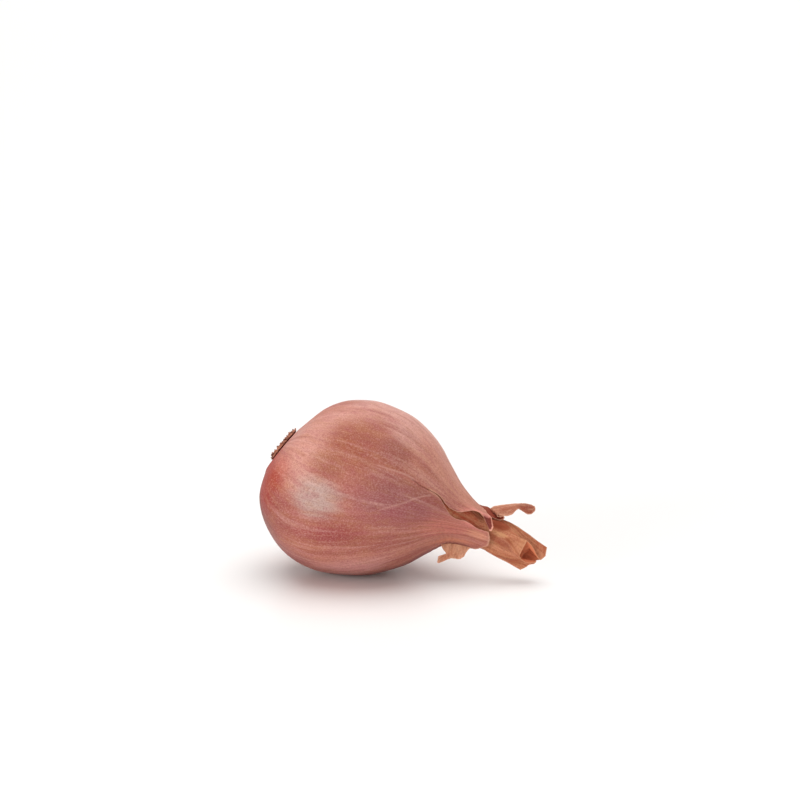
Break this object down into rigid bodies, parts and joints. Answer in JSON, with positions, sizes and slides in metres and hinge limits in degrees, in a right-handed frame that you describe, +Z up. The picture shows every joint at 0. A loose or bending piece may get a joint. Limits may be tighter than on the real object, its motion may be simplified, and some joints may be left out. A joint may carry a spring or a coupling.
{
  "type": "shallot",
  "caption": "Whole shallot lying on its side: plump papery bulb, torn dry neck with an open sheath and a curled strip, and a dried root plate.",
  "frame": {"origin": "centre of the small flat spot that the bulb rests on", "axes": "+X towards the dried neck, +Z up, -Y towards the side with the tear in the skin"},
  "size_m": [0.0755, 0.045, 0.0447],
  "materials": {
    "outer_skin": "satin",
    "inner_skin": "matte",
    "curled_skin": "matte",
    "dried_root": "matte"
  },
  "bodies": {
    "root": {"bulb": "outer_skin", "neck_sheath": "inner_skin", "curled_strip": "curled_skin", "root_plate": "dried_root"}
  },
  "joints": []
}
